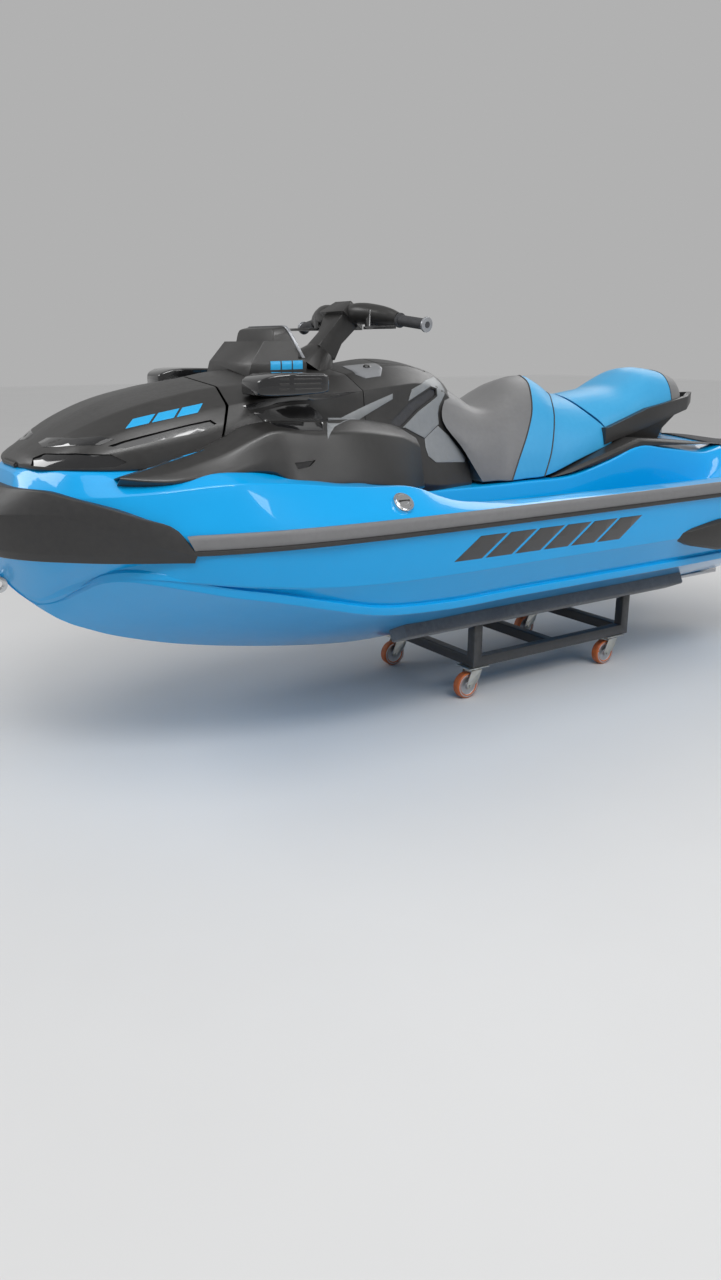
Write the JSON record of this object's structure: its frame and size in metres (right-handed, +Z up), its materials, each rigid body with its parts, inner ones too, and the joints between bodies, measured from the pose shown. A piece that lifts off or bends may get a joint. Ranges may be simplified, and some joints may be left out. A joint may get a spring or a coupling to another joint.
{
  "type": "three-seat personal watercraft on a wheeled display cart",
  "caption": "Jet-driven personal watercraft with a stepped bench seat, handlebar and hinged front hood, standing on a low steel cart with swivel casters.",
  "frame": {"origin": "on the floor below the middle of the craft's length and beam, where the casters stand", "axes": "+X forward to the bow, +Y to port, +Z up"},
  "size_m": [3.451, 1.255, 1.4112],
  "materials": {
    "hull_gelcoat": "glossy moulded hull in bright blue",
    "deck_gelcoat": "glossy moulded deck in bright blue",
    "rail_rubber": "satin dark grey bumper rail",
    "cowl_black": "satin black moulded plastic",
    "gloss_black": "gloss black moulded plastic",
    "silver_trim": "silver painted plastic",
    "display_glass": "dark glass",
    "bar_black": "black coated tube",
    "seat_vinyl": "grey and blue marine vinyl",
    "mat_foam": "ribbed foam mat",
    "pump_alloy": "cast alloy",
    "steel": "stainless steel",
    "engine_iron": "cast metal",
    "cap_chrome": "chromed cap",
    "cart_paint": "black powder coat",
    "bunk_carpet": "grey carpet",
    "zinc": "zinc plated pressed steel",
    "wheel_orange": "orange polyurethane tyre"
  },
  "bodies": {
    "root": {"hull": "hull_gelcoat", "jet_duct": "hull_gelcoat", "bin_tub": "cowl_black", "deck": "deck_gelcoat", "rub_rail": "rail_rubber", "bow_bumper": "rail_rubber", "fairing": "cowl_black", "console": "cowl_black", "side_panels": "cowl_black", "mirrors": "gloss_black", "gauge_hood": "gloss_black", "gauge_rim": "silver_trim", "gauge_display": "display_glass", "steering_neck": "cowl_black", "seat_front": "seat_vinyl", "seat_rear": "seat_vinyl", "rear_trim": "cowl_black", "grab_handle": "cowl_black", "tail_base": "cowl_black", "tow_eye": "steel", "footwell_trays": "deck_gelcoat", "footwell_mats": "mat_foam", "platform_mat": "mat_foam", "sponsons": "cowl_black", "ride_plate": "pump_alloy", "intake_grate": "pump_alloy", "pump_housing": "pump_alloy", "pump_stator": "pump_alloy", "ladder_brackets": "bar_black", "bow_eye": "steel", "stern_eyes": "steel", "fuel_cap": "cap_chrome", "engine_block": "engine_iron", "cart_frame": "cart_paint", "bunks": "bunk_carpet", "caster_plates": "zinc"},
    "hood": {"front_hood": "cowl_black"},
    "glovebox": {"glovebox_lid": "cowl_black"},
    "steering": {"steering_stem": "bar_black", "handlebar": "bar_black", "handlebar_pad": "cowl_black", "hand_levers": "bar_black"},
    "nozzle": {"steering_nozzle": "pump_alloy"},
    "bucket": {"reverse_bucket": "cowl_black"},
    "pump_rotor": {"impeller": "steel"},
    "ladder": {"boarding_ladder": "bar_black"},
    "fork_front_left": {"caster_fork_front_left": "zinc"},
    "wheel_front_left": {"caster_wheel_front_left": "wheel_orange"},
    "fork_front_right": {"caster_fork_front_right": "zinc"},
    "wheel_front_right": {"caster_wheel_front_right": "wheel_orange"},
    "fork_rear_left": {"caster_fork_rear_left": "zinc"},
    "wheel_rear_left": {"caster_wheel_rear_left": "wheel_orange"},
    "fork_rear_right": {"caster_fork_rear_right": "zinc"},
    "wheel_rear_right": {"caster_wheel_rear_right": "wheel_orange"}
  },
  "joints": [
    {"name": "hood_hinge", "type": "hinge", "parent": "root", "child": "hood", "pos_m": [1.592, 0, 0.95], "axis": [0, 1, 0], "range_deg": [0, 50]},
    {"name": "glovebox_hinge", "type": "hinge", "parent": "root", "child": "glovebox", "pos_m": [0.174, 0, 1.1995], "axis": [0, -1, 0], "range_deg": [0, 60]},
    {"name": "steering_column", "type": "hinge", "parent": "root", "child": "steering", "pos_m": [0.585, 0, 1.206], "axis": [-0.6157, 0, 0.788], "range_deg": [-20, 20]},
    {"name": "nozzle_pivot", "type": "hinge", "parent": "root", "child": "nozzle", "pos_m": [-1.508, 0, 0.384], "axis": [0, 0, 1], "range_deg": [-20, 20]},
    {"name": "reverse_pivot", "type": "hinge", "parent": "root", "child": "bucket", "pos_m": [-1.476, 0, 0.384], "axis": [0, -1, 0], "range_deg": [0, 58]},
    {"name": "impeller_spin", "type": "hinge", "parent": "root", "child": "pump_rotor", "pos_m": [-1.27, 0, 0.384], "axis": [1, 0, 0], "continuous": true},
    {"name": "ladder_hinge", "type": "hinge", "parent": "root", "child": "ladder", "pos_m": [-1.688, 0, 0.738], "axis": [0, 1, 0], "range_deg": [0, 90]},
    {"name": "swivel_front_left", "type": "hinge", "parent": "root", "child": "fork_front_left", "pos_m": [0.043, 0.237, 0.11], "axis": [0, 0, 1], "continuous": true},
    {"name": "roll_front_left", "type": "hinge", "parent": "fork_front_left", "child": "wheel_front_left", "pos_m": [0.075, 0.237, 0.05], "axis": [0, 1, 0], "continuous": true},
    {"name": "swivel_front_right", "type": "hinge", "parent": "root", "child": "fork_front_right", "pos_m": [0.043, -0.237, 0.11], "axis": [0, 0, 1], "continuous": true},
    {"name": "roll_front_right", "type": "hinge", "parent": "fork_front_right", "child": "wheel_front_right", "pos_m": [0.075, -0.237, 0.05], "axis": [0, 1, 0], "continuous": true},
    {"name": "swivel_rear_left", "type": "hinge", "parent": "root", "child": "fork_rear_left", "pos_m": [-0.694, 0.237, 0.11], "axis": [0, 0, 1], "continuous": true},
    {"name": "roll_rear_left", "type": "hinge", "parent": "fork_rear_left", "child": "wheel_rear_left", "pos_m": [-0.662, 0.237, 0.05], "axis": [0, 1, 0], "continuous": true},
    {"name": "swivel_rear_right", "type": "hinge", "parent": "root", "child": "fork_rear_right", "pos_m": [-0.694, -0.237, 0.11], "axis": [0, 0, 1], "continuous": true},
    {"name": "roll_rear_right", "type": "hinge", "parent": "fork_rear_right", "child": "wheel_rear_right", "pos_m": [-0.662, -0.237, 0.05], "axis": [0, 1, 0], "continuous": true}
  ],
  "couplings": [
    {"joint": "nozzle_pivot", "follows": "steering_column", "ratio": -1}
  ]
}
